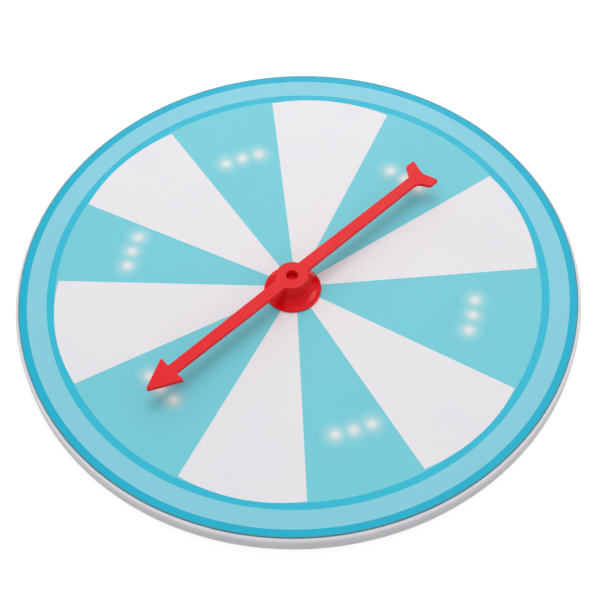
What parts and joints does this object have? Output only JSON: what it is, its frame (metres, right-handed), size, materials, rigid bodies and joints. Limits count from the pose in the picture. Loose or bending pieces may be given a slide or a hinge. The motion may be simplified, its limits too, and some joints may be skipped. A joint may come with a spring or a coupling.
{
  "type": "carnival game wheel",
  "caption": "Flat round carnival game wheel with a striped printed face, lights that shine through its coloured wedges, and a red arrow that spins on a flanged pivot.",
  "frame": {"origin": "centre of the disc on the table, at its flat back", "axes": "+Z out of the printed face, +Y to the top of the face, +X to its right"},
  "size_m": [0.152, 0.152, 0.0123],
  "materials": {
    "printed_sheet": "matt print",
    "white_plastic": "fine satin",
    "red_plastic": "moulded gloss",
    "board": "lacquered",
    "led_white": "clear resin in a white body",
    "black_resin": "matt",
    "cell_steel": "satin",
    "spring_metal": "rolled",
    "screw_steel": "zinc plated",
    "switch_metal": "tinned",
    "black_plastic": "moulded"
  },
  "bodies": {
    "case": {"face_sheet": "printed_sheet", "front_shell": "white_plastic", "rear_shell": "white_plastic", "circuit_board": "board", "control_chip": "black_resin", "resistors": "black_resin", "led_1": "led_white", "led_2": "led_white", "led_3": "led_white", "led_4": "led_white", "led_5": "led_white", "led_6": "led_white", "led_7": "led_white", "led_8": "led_white", "led_9": "led_white", "led_10": "led_white", "led_11": "led_white", "led_12": "led_white", "led_13": "led_white", "led_14": "led_white", "led_15": "led_white", "led_16": "led_white", "led_17": "led_white", "led_18": "led_white", "coin_cell_left": "cell_steel", "coin_cell_right": "cell_steel", "contact_positive": "spring_metal", "contact_negative": "spring_metal", "case_screws": "screw_steel", "switch_body": "switch_metal", "spinner_base": "red_plastic", "pivot_washer": "screw_steel", "pivot_screw": "screw_steel"},
    "arrow": {"spinner_arrow": "red_plastic"},
    "switch": {"switch_knob": "black_plastic"},
    "door": {"battery_door": "white_plastic", "door_screws": "screw_steel", "contact_bridge": "spring_metal"}
  },
  "joints": [
    {"name": "arrow_spin", "type": "hinge", "parent": "case", "child": "arrow", "pos_m": [-0.00125, -0.0016, 0.0081], "axis": [0, 0, 1], "continuous": true},
    {"name": "switch_slide", "type": "slide", "parent": "case", "child": "switch", "axis": [1, 0, 0], "range_m": [0, 0.002]},
    {"name": "door_lift", "type": "slide", "parent": "case", "child": "door", "axis": [0, 0, -1], "range_m": [0, 0.012]}
  ]
}
